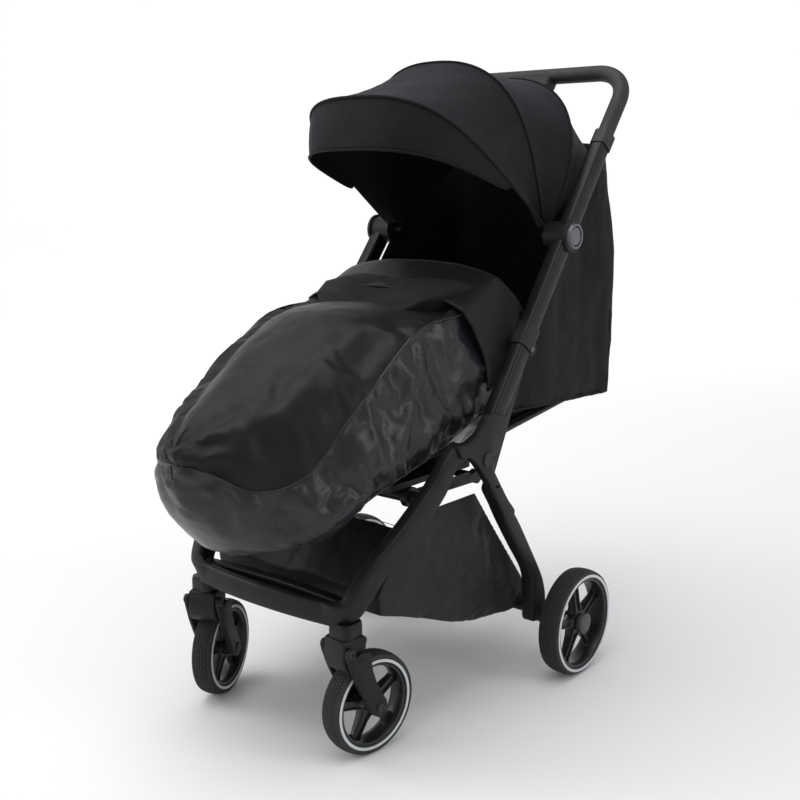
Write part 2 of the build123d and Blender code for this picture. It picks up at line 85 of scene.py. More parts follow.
AIM = 0.6867
TILT = 0.1968
camera = bpy.data.objects.new("camera", bpy.data.cameras.new("camera"))
bpy.context.collection.objects.link(camera)
camera.location = (1.1121, -1.3141, 0.8032)
forward = Vector((-sin(AIM) * cos(TILT), cos(AIM) * cos(TILT), -sin(TILT)))
camera.rotation_mode = "QUATERNION"
camera.rotation_quaternion = forward.to_track_quat("-Z", "Y")
camera.data.sensor_fit = "HORIZONTAL"
camera.data.sensor_width = 36
camera.data.lens = 50
bpy.context.scene.camera = camera


# ---- mesh helpers ----


def centre(node):
    low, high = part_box(node)
    return (low + high) / 2


def build(name, verts, faces, material, sharp=35, uv=None):
    """A mesh object with smooth faces and sharp edges above an angle."""
    mesh = bpy.data.meshes.new(name)
    mesh.from_pydata([tuple(map(float, v)) for v in verts], [], faces)
    if uv is not None:
        layer = mesh.uv_layers.new(name="cloth")
        flat = np.array(uv, float)[[l.vertex_index for l in mesh.loops]]
        layer.data.foreach_set("uv", flat.astype(np.float32).ravel())
    mesh.validate()
    mesh.shade_smooth()
    if sharp:
        mesh.set_sharp_from_angle(angle=radians(sharp))
    mesh.materials.append(material)
    made = bpy.data.objects.new(name, mesh)
    bpy.context.collection.objects.link(made)
    return made


def grid(name, rows, material, sharp=35, wrap_u=False, wrap_v=False, caps=False):
    """A surface through rows of points, with its cloth coordinates in metres."""
    p = np.array(rows, float)
    n, m = p.shape[:2]
    across = np.zeros((n, m))
    across[:, 1:] = np.cumsum(np.linalg.norm(np.diff(p, axis=1), axis=2), axis=1)
    along = np.zeros((n, m))
    along[1:] = np.cumsum(np.linalg.norm(np.diff(p, axis=0), axis=2), axis=0)
    uv = np.stack([across, along], 2).reshape(-1, 2)
    faces = []
    for i in range(n if wrap_v else n - 1):
        for j in range(m if wrap_u else m - 1):
            a, b = i * m + j, i * m + (j + 1) % m
            c, d = ((i + 1) % n) * m + (j + 1) % m, ((i + 1) % n) * m + j
            faces.append((a, b, c, d))
    if caps:
        faces += [list(range(m))[::-1], [(n - 1) * m + j for j in range(m)]]
    return build(name, p.reshape(-1, 3), faces, material, sharp, uv)


def smooth_line(points, count, closed=False):
    """Even steps along a smooth curve through the points."""
    p = np.array(points, float)
    if closed:
        q = np.vstack([p[-1], p, p[0], p[1]])
    else:
        q = np.vstack([2 * p[0] - p[1], p, 2 * p[-1] - p[-2]])
    out = []
    for i in range(1, len(q) - 2):
        a, b, c, d = q[i - 1], q[i], q[i + 1], q[i + 2]
        for t in np.linspace(0, 1, 14, endpoint=False):
            bend = (2 * a - 5 * b + 4 * c - d) * t**2 + (3 * b - a - 3 * c + d) * t**3
            out.append(0.5 * (2 * b + (c - a) * t + bend))
    out.append(q[-2])
    out = np.array(out)
    s = np.r_[0, np.cumsum(np.linalg.norm(np.diff(out[:, :3], axis=0), axis=1))]
    w = np.linspace(0, s[-1], count + 1 if closed else count)
    even = np.stack([np.interp(w, s, out[:, k]) for k in range(out.shape[1])], 1)
    return even[:-1] if closed else even


def sweep(name, path, section, material, closed=False, up=(0, 0, 1), scale=None, sharp=35):
    """A section of (a, b) points carried along a path; b leans towards up."""
    p = np.array(path, float)
    n = len(p)
    tangent = np.roll(p, -1, 0) - np.roll(p, 1, 0)
    if not closed:
        tangent[0], tangent[-1] = p[1] - p[0], p[-1] - p[-2]
    tangent /= np.linalg.norm(tangent, axis=1)[:, None]
    rows = []
    b = np.array(up, float)
    for i in range(n):
        a = np.cross(tangent[i], b)
        a /= np.linalg.norm(a)
        b = np.cross(a, tangent[i])
        k = 1 if scale is None else scale[i]
        rows.append([p[i] + k * (x * a + y * b) for x, y in section])
    return grid(name, rows, material, sharp, wrap_u=True, wrap_v=closed, caps=not closed)


def round_section(r, n):
    return [(r * cos(2 * pi * k / n), r * sin(2 * pi * k / n)) for k in range(n)]


def box_section(wide, deep, corner, n=5):
    """A rounded rectangle as (a, b) points."""
    out = []
    for cx, cy, t0 in ((1, 1, 0), (-1, 1, 90), (-1, -1, 180), (1, -1, 270)):
        for k in range(n):
            t = radians(t0 + 90 * k / (n - 1))
            a = cx * (wide / 2 - corner) + corner * cos(t)
            b = cy * (deep / 2 - corner) + corner * sin(t)
            out.append((a, b))
    return out


def lathe(name, profile, steps, material, sharp=35):
    """A closed profile of (x, radius) turned about the X axis."""
    rows = []
    for k in range(steps):
        t = 2 * pi * k / steps
        rows.append([(x, r * cos(t), r * sin(t)) for x, r in profile])
    return grid(name, rows, material, sharp, wrap_u=True, wrap_v=True)


def slab(name, outline, x0, x1, material, edge, steps, shift=None):
    """A side-view outline given thickness along X, with rounded edges."""
    n = len(outline)
    verts = [(x0, y, z) for y, z in outline] + [(x1, y, z) for y, z in outline]
    faces = [tuple(range(n)), tuple(range(2 * n - 1, n - 1, -1))]
    faces += [(i, n + i, n + (i + 1) % n, (i + 1) % n) for i in range(n)]
    made = build(name, verts, faces, material, 0)
    bm = bmesh.new()
    bm.from_mesh(made.data)
    bmesh.ops.recalc_face_normals(bm, faces=bm.faces)
    bm.to_mesh(made.data)
    bm.free()
    bevel = made.modifiers.new("edge", "BEVEL")
    bevel.width = edge
    bevel.segments = steps
    bevel.limit_method = "ANGLE"
    bevel.angle_limit = radians(30)
    baked(made)
    if shift:
        for v in made.data.vertices:
            v.co.x += shift(v.co.z)
    made.data.shade_smooth()
    made.data.set_sharp_from_angle(angle=radians(35))
    return made


def baked(o):
    """Apply every modifier of an object to its mesh."""
    graph = bpy.context.evaluated_depsgraph_get()
    graph.update()
    mesh = bpy.data.meshes.new_from_object(o.evaluated_get(graph))
    o.modifiers.clear()
    o.data = mesh
    return o


def cut(o, other):
    """Take another object's shape away from this one."""
    boolean = o.modifiers.new("cut", "BOOLEAN")
    boolean.object = other
    boolean.operation = "DIFFERENCE"
    boolean.solver = "EXACT"
    baked(o)
    bpy.data.objects.remove(other)
    return o


def joined(name, parts):
    with bpy.context.temp_override(active_object=parts[0], selected_editable_objects=parts):
        bpy.ops.object.join()
    parts[0].name = name
    parts[0].data.name = name
    return parts[0]


def moved(o, matrix):
    o.data.transform(matrix)
    if matrix.determinant() < 0:
        o.data.flip_normals()
    return o


def copy_of(o, name, matrix):
    twin = o.copy()
    twin.data = o.data.copy()
    twin.name = name
    bpy.context.collection.objects.link(twin)
    return moved(twin, matrix)


MIRROR = Matrix.Diagonal((-1, 1, 1, 1))


def place(o, body, nodes=()):
    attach(o, body)
    if nodes:
        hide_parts(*nodes)
    return o


# ---- materials ----


class Shader:
    """A Principled material and short ways to add nodes to it."""

    def __init__(self, name, rough, specular=0.5, **sockets):
        self.made = bpy.data.materials.new(name)
        self.made.use_nodes = True
        self.tree = self.made.node_tree
        self.bsdf = self.tree.nodes["Principled BSDF"]
        self.bsdf.inputs["Roughness"].default_value = rough
        self.bsdf.inputs["Specular IOR Level"].default_value = specular
        for key, value in sockets.items():
            self.bsdf.inputs[key.replace("_", " ")].default_value = value

    def node(self, kind, inputs=None, **settings):
        made = self.tree.nodes.new(kind)
        for key, value in settings.items():
            setattr(made, key, value)
        for key, value in (inputs or {}).items():
            self.put(made, key, value)
        return made

    def put(self, made, key, value):
        """Link a socket, or set it to a plain value."""
        if isinstance(value, bpy.types.NodeSocket):
            self.tree.links.new(value, made.inputs[key])
        else:
            made.inputs[key].default_value = value

    def coords(self, cloth, stretch=(1, 1, 1), turn=0.0):
        source = self.node("ShaderNodeTexCoord").outputs["UV" if cloth else "Object"]
        mapped = self.node("ShaderNodeMapping", {"Vector": source, "Scale": stretch})
        mapped.inputs["Rotation"].default_value = (0, 0, turn)
        return mapped.outputs["Vector"]

    def noise(self, vector, scale, detail=4.0, rough=0.55):
        made = self.node(
            "ShaderNodeTexNoise",
            {"Vector": vector, "Scale": scale, "Detail": detail, "Roughness": rough},
        )
        return made.outputs["Fac"]

    def ramp(self, value, low, high, start=0.0, end=1.0):
        inputs = {"Value": value, "From Min": low, "From Max": high, "To Min": start, "To Max": end}
        return self.node("ShaderNodeMapRange", inputs).outputs["Result"]

    def sum(self, kind, a, b):
        made = self.node("ShaderNodeMath", operation=kind)
        self.put(made, 0, a)
        self.put(made, 1, b)
        return made.outputs[0]

    def blend(self, factor, dark, light):
        made = self.node("ShaderNodeMix", data_type="RGBA")
        self.put(made, 0, factor)
        for key, value in ((6, dark), (7, light)):
            self.put(made, key, (*value, 1) if isinstance(value, tuple) else value)
        return made.outputs[2]

    def to(self, key, socket):
        self.tree.links.new(socket, self.bsdf.inputs[key])

    def bump(self, height, distance, strength=1.0, under=None):
        made = self.node("ShaderNodeBump", {"Height": height, "Distance": distance, "Strength": strength})
        if under is not None:
            self.tree.links.new(under, made.inputs["Normal"])
        return made.outputs["Normal"]


def hard(name, dark, light, rough, spread=0.06, grain=700, depth=0.00006, edge_wear_and_highlight=0.0, specular=0.5, metal=0.0):
    """Paint or moulded plastic: fine grain, uneven gloss, lighter sharp edges that are partly wear and partly
    a painted highlight.
    """
    s = Shader(name, rough, specular, Metallic=metal)
    v = s.coords(False)
    broad = s.noise(v, 14, 5)
    colour = s.blend(s.ramp(broad, 0.3, 0.7), dark, light)
    # Lighter sharp edges: partly wear, partly a painted highlight for light caught on the edges.
    if edge_wear_and_highlight:
        edge = s.node("ShaderNodeNewGeometry").outputs["Pointiness"]
        patch = s.sum("MULTIPLY", s.ramp(edge, 0.52, 0.6), s.ramp(s.noise(v, 60, 6), 0.35, 0.65))
        lighter = tuple(c + edge_wear_and_highlight for c in light)
        colour = s.blend(patch, colour, lighter)
    s.to("Base Color", colour)
    s.to("Roughness", s.ramp(s.noise(v, 40, 6), 0.3, 0.7, rough - spread, rough + spread))
    s.to("Normal", s.bump(s.noise(v, grain, 2), depth))
    return s.made


def cloth(
    name, dark, light, rough, pitch=0.0009, depth=0.00018, heather=0.0, sheen=0.3, crease=0.0, uv=True,
    specular=0.4,
):
    """Woven fabric: crossing threads, slub along them, creases and a soft sheen."""
    s = Shader(name, rough, specular, Sheen_Weight=sheen, Sheen_Roughness=0.45)
    s.bsdf.inputs["Sheen Tint"].default_value = (0.75, 0.8, 0.9, 1)
    v = s.coords(uv)
    w = s.coords(uv, (1 / pitch, 1 / pitch, 1 / pitch))
    wave = {"Vector": w, "Scale": 0.32, "Distortion": 0.6}
    warp = s.node("ShaderNodeTexWave", wave, bands_direction="X").outputs["Fac"]
    weft = s.node("ShaderNodeTexWave", wave, bands_direction="Y" if uv else "Z").outputs["Fac"]
    threads = s.sum("MAXIMUM", warp, weft)
    slub = s.sum(
        "ADD", s.noise(s.coords(uv, (900, 90, 300)), 1.0, 3),
        s.noise(s.coords(uv, (90, 900, 300)), 1.0, 3),
    )
    tone = s.ramp(s.noise(v, 7, 4), 0.3, 0.7, 0, 0.5)
    tone = s.sum("ADD", tone, s.sum("MULTIPLY", s.ramp(slub, 0.75, 1.3), 0.25 + heather))
    s.to("Base Color", s.blend(tone, dark, light))
    s.to("Roughness", s.ramp(s.noise(v, 25, 5), 0.3, 0.7, rough - 0.05, rough + 0.07))
    normal = s.bump(threads, depth, 0.7)
    if crease:
        folds = s.noise(s.coords(uv, (16, 5, 10), 0.5), 1.0, 5, 0.5)
        fine = s.noise(s.coords(uv, (7, 30, 18), -0.4), 1.0, 4, 0.5)
        normal = s.bump(s.sum("ADD", folds, s.sum("MULTIPLY", fine, 0.5)), crease, 1.0, normal)
    s.to("Normal", normal)
    return s.made


# The edge amounts given to these materials lighten sharp edges, partly as wear and partly as a painted
# highlight.
PAINT = hard(
    "satin_black_paint", (0.005, 0.005, 0.0056), (0.008, 0.008, 0.0087), 0.38, edge_wear_and_highlight=0.012, specular=0.24,
)
MOULDING = hard(
    "grained_black_moulding", (0.006, 0.006, 0.0066), (0.010, 0.010, 0.0107), 0.44, grain=1400,
    depth=0.00012, edge_wear_and_highlight=0.01, specular=0.22,
)
DARK = hard("dark_recess_plastic", (0.006, 0.006, 0.007), (0.010, 0.010, 0.011), 0.6, grain=900)
GRIP = hard("soft_grip", (0.008, 0.008, 0.009), (0.014, 0.014, 0.015), 0.6, grain=1800, depth=0.0002)
TYRE = hard(
    "tyre_rubber", (0.010, 0.010, 0.011), (0.018, 0.018, 0.019), 0.7, spread=0.08, grain=1100,
    depth=0.0001, edge_wear_and_highlight=0.015,
)
RIM = hard("satin_rim_plastic", (0.007, 0.007, 0.008), (0.012, 0.012, 0.013), 0.36, edge_wear_and_highlight=0.03)
STEEL = hard("dark_steel", (0.22, 0.22, 0.23), (0.34, 0.34, 0.35), 0.33, metal=1.0, grain=900)
CAP = hard("hub_cap_grey", (0.038, 0.038, 0.042), (0.050, 0.050, 0.055), 0.42, grain=1600)
STEEL_DARK = hard("blackened_bolt", (0.03, 0.03, 0.032), (0.05, 0.05, 0.053), 0.35, metal=0.6, grain=1500)
BUTTON = hard("glossy_button", (0.09, 0.092, 0.098), (0.12, 0.122, 0.13), 0.22, spread=0.03)
BAND = hard("reflective_band", (0.48, 0.50, 0.51), (0.62, 0.64, 0.65), 0.42, grain=2600, depth=0.0001)
CANOPY = cloth(
    "canopy_weave", (0.005, 0.005, 0.006), (0.015, 0.015, 0.0175), 0.72, pitch=0.0011, heather=0.35,
    sheen=0.05, crease=0.0006, specular=0.12,
)
LINING = cloth("black_lining", (0.003, 0.003, 0.0035), (0.006, 0.006, 0.007), 0.85, sheen=0.0)
SATIN = cloth(
    "muff_satin", (0.0045, 0.005, 0.0052), (0.008, 0.0085, 0.009), 0.46, pitch=0.0006, depth=0.00006,
    sheen=0.05, crease=0.0007, uv=False, specular=0.2,
)
NYLON = cloth(
    "muff_nylon", (0.0045, 0.005, 0.006), (0.008, 0.009, 0.011), 0.29, pitch=0.0006, depth=0.00006,
    sheen=0.04, crease=0.0016, uv=False, specular=0.42,
)
BASKET = cloth(
    "basket_nylon", (0.009, 0.0085, 0.009), (0.013, 0.012, 0.013), 0.5, pitch=0.0007, depth=0.0001,
    sheen=0.04, crease=0.0018, uv=False, specular=0.25,
)
PIPING = cloth(
    "piping_tape", (0.006, 0.006, 0.007), (0.010, 0.010, 0.011), 0.65, pitch=0.0007, sheen=0.03,
    specular=0.12,
)
THREAD = hard("stitch_thread", (0.020, 0.020, 0.022), (0.035, 0.035, 0.037), 0.6, grain=3000)

# ---- cloth helpers ----


def ripple(points, amount, scale, seed, stretch=(1, 1, 1)):
    """Noise at each point, as a number of metres."""
    start = Vector((seed, seed * 0.7, -seed))
    out = []
    for p in points:
        v = Vector((p[0] * stretch[0], p[1] * stretch[1], p[2] * stretch[2])) * scale + start
        out.append(noise.fractal(v, 0.9, 2.1, 4) * amount)
    return np.array(out)


def normals_of(o):
    n = np.zeros(len(o.data.vertices) * 3, np.float32)
    o.data.vertices.foreach_get("normal", n)
    return n.reshape(-1, 3).astype(float)


def points_of(o):
    c = np.zeros(len(o.data.vertices) * 3, np.float32)
    o.data.vertices.foreach_get("co", c)
    return c.reshape(-1, 3).astype(float)


def set_points(o, co):
    o.data.vertices.foreach_set("co", np.asarray(co, np.float32).ravel())
    o.data.update()


def face_outwards(o, middle):
    """Turn a surface's faces away from a point."""
    if float(np.mean(np.sum(normals_of(o) * (points_of(o) - middle), axis=1))) < 0:
        o.data.flip_normals()


def crumple(o, held, spare, pressure, gravity, limit, stiff, frames=22):
    """Let fabric with spare cloth buckle between its held seams, by cloth simulation."""
    rest = points_of(o)
    group = o.vertex_groups.new(name="held")
    for i, w in enumerate(held):
        if w > 0:
            group.add([i], float(w), "REPLACE")
    mod = o.modifiers.new("cloth", "CLOTH")
    s = mod.settings
    s.quality = 6
    s.mass = 0.12
    s.tension_stiffness = s.compression_stiffness = 18
    s.shear_stiffness = 8
    s.bending_stiffness = stiff
    s.tension_damping = s.compression_damping = 8
    s.air_damping = 3
    s.vertex_group_mass = "held"
    s.pin_stiffness = 1
    s.shrink_min = -spare
    s.use_pressure = True
    s.uniform_pressure_force = pressure
    s.effector_weights.gravity = gravity
    mod.collision_settings.use_collision = False
    mod.point_cache.frame_start = 1
    mod.point_cache.frame_end = frames
    scene = bpy.context.scene
    for f in range(1, frames + 1):
        scene.frame_set(f)
    graph = bpy.context.evaluated_depsgraph_get()
    co = points_of(o.evaluated_get(graph))
    o.modifiers.clear()
    scene.frame_set(1)
    step = co - rest
    size = np.linalg.norm(step, axis=1)
    step *= np.minimum(1, limit / np.maximum(size, 1e-9))[:, None]
    set_points(o, rest + step)
    o.vertex_groups.clear()


def length_of(path):
    return sum(np.linalg.norm(np.diff(np.array(path), axis=0), axis=1))


def seam(name, path, material, r, gather, closed=False):
    """A piped or bound seam, a little uneven where the cloth is gathered."""
    p = smooth_line(path, max(12, int(length_of(path) / 0.004)), closed)
    scale = [1 + gather * noise.noise(Vector((i * 0.37, len(p) * 0.1, 0))) for i in range(len(p))]
    return sweep(
        name, p, round_section(r, 8), material, closed=closed, scale=scale, up=(0.05, 0.1, 1), sharp=0,
    )


def stitches(name, path, material, out, gap=0.0042, long=0.0026, r=0.00038):
    """A row of raised stitches along a path, offset outwards."""
    p = smooth_line(path, max(8, int(length_of(path) / (gap / 2))))
    verts, faces = [], []
    side = np.array(out, float)
    for i in range(0, len(p) - 1, 2):
        a, b = p[i], p[i] + (p[i + 1] - p[i]) * (long / (gap / 2))
        t = (b - a) / max(np.linalg.norm(b - a), 1e-9)
        u = np.cross(t, side)
        u /= max(np.linalg.norm(u), 1e-9)
        w = np.cross(u, t)
        base = len(verts)
        for end, k in ((a, 0.5), (a + (b - a) * 0.25, 1), (a + (b - a) * 0.75, 1), (b, 0.5)):
            for q in range(5):
                g = 2 * pi * q / 5
                verts.append(end + side * r * 0.6 + r * k * (cos(g) * u + sin(g) * w))
        for row in range(3):
            for q in range(5):
                c = base + row * 5 + q
                d = base + row * 5 + (q + 1) % 5
                faces.append((c, d, d + 5, c + 5))
        faces.append(tuple(base + q for q in range(4, -1, -1)))
        faces.append(tuple(base + 15 + q for q in range(5)))
    return build(name, verts, faces, material, 0)

# ---- wheels, made at the origin with the axle along X and the outer side towards +X ----


def tyre(name, radius, bead, half, blocks):
    """Rounded tyre with rows of small staggered tread blocks."""
    flank = [
        (half - 0.0022, bead - 0.0004), (half - 0.0006, bead + 0.0006), (half, bead + 0.0022),
        (half, radius - 0.0098), (half * 0.995, radius - 0.0085), (half * 0.985, radius - 0.0062),
        (half * 0.955, radius - 0.0042),
    ]
    across = 36
    crown = []
    for i in range(across + 1):
        t = 0.925 - 1.85 * i / across
        crown.append((half * t, radius - 0.0026 * abs(t / 0.925) ** 2.6))
    rows = []
    for k in range(blocks * 4):
        turn = 2 * pi * k / (blocks * 4)
        loop = list(flank)
        for i, (x, r) in enumerate(crown):
            lane = i // 6
            groove = i % 6 == 0 and 0 < i < across
            slot = (k + 2 * (lane % 2)) % 4 == 0 and i % 6 != 0
            loop.append((x, r - (0.0014 if groove else 0.0011 if slot else 0)))
        loop += [(-x, r) for x, r in reversed(flank)]
        rows.append([(x, r * cos(turn), r * sin(turn)) for x, r in loop])
    return grid(name, rows, TYRE, 28, wrap_u=True, wrap_v=True)


def spoke(name, hub, rim_r, wide, face, turn):
    """One double spoke: two raised edges with a channel between, spreading into the hub and the rim."""
    across = [-1, -0.93, -0.86, -0.72, -0.62, -0.3, 0, 0.3, 0.62, 0.72, 0.86, 0.93, 1]
    rows = []
    for r in np.linspace(hub - 0.001, rim_r + 0.0006, 26):
        inner = min(max((r - hub - 0.0045) / 0.011, 0), 1)
        outer = min(max((rim_r - r) / 0.008, 0), 1)
        gap = sqrt(1 - (1 - inner) ** 2) * (0.80 + 0.20 * sqrt(1 - (1 - outer) ** 2))
        reach = pi / 5 - (pi / 5 - wide / r) * gap
        front = face - 0.004 * min(1, (r - hub) / (rim_r - hub))
        deep = 0.0034 * min(1, max((r - hub) / 0.006, 0))
        loop = []
        for side in (1, -1):
            for t in across if side > 0 else reversed(across):
                dip = deep if abs(t) < 0.65 else 0
                edge = 0.0009 if abs(t) > 0.98 else 0
                angle = turn + reach * t
                x = side * (front - dip - edge)
                loop.append((x, r * cos(angle), r * sin(angle)))
        rows.append(loop)
    return grid(name, rows, RIM, 30, wrap_u=True)


def rim(name, bead, half, hub, hub_half, wide, cap):
    barrel = [
        (half, bead), (half + 0.0006, bead - 0.0012), (half - 0.0002, bead - 0.0036),
        (half - 0.003, bead - 0.0048), (0.004, bead - 0.0062),
    ]
    barrel = [(-half, bead)] + barrel + [(-x, r) for x, r in barrel[:0:-1]]
    parts = [lathe(name, barrel, 120, RIM, 40)]
    boss = [(-hub_half, 0.0055), (-hub_half, hub - 0.001), (-hub_half + 0.001, hub), (hub_half - 0.001, hub)]
    boss += [(hub_half, hub - 0.001), (hub_half, 0.0055)]
    parts.append(lathe(name + "_boss", boss, 48, RIM, 40))
    for k in range(5):
        parts.append(spoke(f"{name}_spoke{k}", hub, bead - 0.0058, wide, 0.0085, 2 * pi * k / 5 + 0.45))
    if cap:
        dome = [(0.012, 0.0002), (0.012, 0.0168), (0.0188, 0.0172), (0.0204, 0.0162), (0.0211, 0.0140)]
        dome += [(0.0207, 0.0134), (0.0213, 0.0126), (0.0216, 0.008), (0.0217, 0.0002)]
        made = lathe(name + "_cap", dome, 72, CAP, 40)
        collar = [(-0.038, 0.0056), (-0.038, 0.0108), (-0.036, 0.012), (-0.012, 0.012), (-0.012, 0.0056)]
        parts += [made, lathe(name + "_collar", collar, 40, RIM, 40)]
    return joined(name, parts)


rear_tyre = tyre("rear_tyre", 0.0875, 0.074, 0.018, 104)
rear_rim = rim("rear_rim", 0.074, 0.016, 0.015, 0.016, 0.0074, True)
front_tyre = tyre("front_tyre", 0.075, 0.060, 0.0155, 90)
front_rim = rim("front_rim", 0.060, 0.0135, 0.013, 0.020, 0.0068, False)

swivel = {}
for side, sign in SIDES.items():
    hub = centre(f"rear_tyre_{side}")
    at = Matrix.Translation(hub) @ (MIRROR if sign < 0 else Matrix.Identity(4))
    for thing, source in (("tyre", rear_tyre), ("rim", rear_rim)):
        made = copy_of(source, f"{side}_rear_{thing}", at)
        place(made, f"rear_wheel_{side}", [f"rear_{thing}_{side}"])
    pin = centre(f"swivel_pin_{side}")
    axle = centre(f"front_tyre_{side}")
    angle = atan2(-(axle.x - pin.x), axle.y - pin.y)
    swivel[side] = Matrix.Translation((pin.x, pin.y, 0)) @ Matrix.Rotation(angle, 4, "Z")
    at = Matrix.Translation(axle) @ Matrix.Rotation(angle, 4, "Z")
    for thing, source in (("tyre", front_tyre), ("rim", front_rim)):
        made = copy_of(source, f"{side}_front_{thing}", at)
        place(made, f"front_wheel_{side}", [f"front_{thing}_{side}"])
for source in (rear_tyre, rear_rim, front_tyre, front_rim):
    bpy.data.objects.remove(source)

# ---- casters, made with the swivel axis on Z and the wheel trailing towards +Y ----


def mm(points):
    return [tuple(c / 1000 for c in p) for p in points]


def smooth_outline(points, count):
    """A closed smooth outline through points in millimetres."""
    return [tuple(p) for p in smooth_line(mm(points), count, True)]


def caster_fork():
    outline = [
        (-18.5, 186.2), (18.5, 186.2), (19.5, 172), (17, 161), (7, 148), (-3, 139), (-11, 137),
        (-17, 142), (-21.5, 150), (-23, 163), (-21.5, 177),
    ]
    body = slab("fork", smooth_outline(outline, 44), -0.022, 0.022, MOULDING, 0.006, 5)
    wheel = lathe(
        "fork_room", [(-0.0182, 0.0001), (-0.0182, 0.079), (0.0182, 0.079), (0.0182, 0.0001)], 96,
        MOULDING,
    )
    moved(wheel, Matrix.Translation((0, 0.040, 0.075)))
    cut(body, wheel)
    body.data.shade_smooth()
    body.data.set_sharp_from_angle(angle=radians(35))
    neck = sweep(
        "fork_neck", [(0, 0, 0.1835), (0, 0, 0.186), (0, 0, 0.1863)],
        box_section(0.0375, 0.0375, 0.009, 7), MOULDING, up=(0, 1, 0), scale=[1, 1, 0.97],
    )
    return joined("fork", [body, neck])


def caster_arm(sign):
    blade = mm([
        (-14, 179.6), (-19.8, 177), (-22.6, 171), (-21.5, 164), (-17, 152), (-11, 136), (-2, 117), (9, 96),
        (19, 77), (25, 68.5), (33, 63.4), (41, 62.4), (49, 66.5), (52.4, 75), (50.5, 84), (42, 98), (32, 117),
        (26, 134), (23.4, 148), (22.6, 160), (19.5, 165), (6, 167.4), (0.5, 164), (-3.5, 162.2),
        (-6, 167), (-8.6, 176),
    ])
    outer = slab("arm", blade, 0.0228, 0.0294, MOULDING, 0.0022, 4)
    ridge = [
        (-15.5, 160), (-9, 137), (0, 118), (11, 97), (21, 79), (27, 71.5), (30, 74), (23, 90), (15.5, 108),
        (13.2, 130), (13, 148), (8, 158), (-2, 158), (-9, 161),
    ]
    face = slab("arm_face", smooth_outline(ridge, 50), 0.028, 0.0306, MOULDING, 0.0013, 4)
    seat = [(0.0286, 0.0044), (0.0312, 0.0044), (0.0312, 0.0062), (0.0300, 0.0074), (0.0286, 0.0076)]
    boss = moved(lathe("arm_boss", seat, 40, MOULDING), Matrix.Translation((0, -0.014, 0.171)))
    cup = [(0.0286, 0.0066), (0.0308, 0.0066), (0.0310, 0.0078), (0.0298, 0.0094), (0.0286, 0.0096)]
    ring = moved(lathe("arm_cup", cup, 48, MOULDING), Matrix.Translation((0, 0.040, 0.075)))
    return moved(joined("arm", [outer, face, boss, ring]), Matrix.Diagonal((sign, 1, 1, 1)))


def bolt(radius, x, sign):
    """Domed bolt head with a hexagon socket."""
    hexagon = [(0.5 * radius * cos(radians(60 * k)), 0.5 * radius * sin(radians(60 * k))) for k in range(6)]
    rows = []
    for depth, r in ((0, 1.0), (0.0006, 1.0), (0.0012, 0.9), (0.0014, 0.62)):
        turns = [radians(10 * k) for k in range(36)]
        rows.append([(x + depth, radius * r * cos(t), radius * r * sin(t)) for t in turns])
    for depth in (0.0014, 0.0004):
        rows.append([(x + depth, *hexagon[(k // 6) % 6]) for k in range(36)])
    made = grid("bolt", rows, STEEL_DARK, 30, wrap_u=True, caps=True)
    return moved(made, Matrix.Diagonal((sign, 1, 1, 1)))


for side, sign in SIDES.items():
    body = place(moved(caster_fork(), swivel[side]), f"caster_{side}", [f"caster_fork_{side}"])
    body.name = f"{side}_fork_hood"
    both = [caster_arm(1), caster_arm(-1)]
    arm = place(
        moved(joined("arms", both), swivel[side]), f"suspension_{side}",
        [f"suspension_arms_{side}"],
    )
    arm.name = f"{side}_suspension_arms"
    for thing, radius, x, at, rider, node in (
        ("axle_bolts", 0.0062, 0.0297, (0, 0.040, 0.075), "suspension", "front_axle"),
        ("pivot_screws", 0.0042, 0.0290, (0, -0.014, 0.171), "caster", "suspension_pins"),
    ):
        heads = [moved(bolt(radius, x, turn), Matrix.Translation(at)) for turn in (1, -1)]
        head = moved(joined(thing, heads), swivel[side])
        place(head, f"{rider}_{side}", [f"{node}_{side}"])
        head.name = f"{side}_{thing}"
    stem = centre(f"swivel_pin_{side}")
    path = [(stem.x, stem.y, z) for z in (0.1866, 0.1872, 0.196, 0.2025, 0.2075)]
    block = sweep(
        f"{side}_caster_column", path, box_section(0.038, 0.038, 0.0095, 8), PAINT, up=(0, 1, 0),
        scale=[0.97, 1, 1, 1, 0.93],
    )
    place(block, "chassis", [f"caster_column_{side}"])

# ---- hub, legs and push tubes ----

# Side outlines as (y, z), in millimetres.
HUB_PLATE = [
    (-84, 430), (-60, 434), (-38, 441), (-22, 452), (-10, 466), (12, 463), (37, 456), (30, 440),
    (12, 408), (0, 399), (2, 384), (13, 367), (40, 330), (62, 303), (40, 296), (22, 318), (1, 348),
    (-11, 365), (-30, 387), (-46, 403), (-60, 411), (-73, 411),
]
REAR_LEG = [
    (8, 360), (1, 348), (20, 322), (43, 290), (84, 238), (125, 187), (136, 155), (142, 125), (145, 95),
    (163, 92), (181, 100), (180, 123), (172, 150), (157, 178), (120, 229), (81, 281), (40, 330), (20, 356),
]
# Each station: a point on the line and the section's depth there.
FRONT_RAIL = [
    (196, -66, 424, 20), (195, -79, 418, 23), (194, -96, 398, 29), (191, -118, 368, 33),
    (181, -178, 314, 35), (169, -214, 279, 36), (160, -238, 246, 36), (152, -252, 226, 35),
    (136, -262, 219, 34), (112, -266, 218, 33), (60, -271, 218, 33), (0, -273, 218, 33),
]


def leaning(z):
    """The rear leg stands further in towards the wheel."""
    return -0.0148 * min(max((0.35 - z) / 0.25, 0), 1)


def rear_leg():
    parts = [
        slab("hub_plate", smooth_outline(HUB_PLATE, 150), 0.1985, 0.2130, MOULDING, 0.0028, 4),
        slab("leg_body", smooth_outline(REAR_LEG, 170), 0.1888, 0.2130, MOULDING, 0.0045, 4, leaning),
    ]
    return joined("rear_leg", parts)


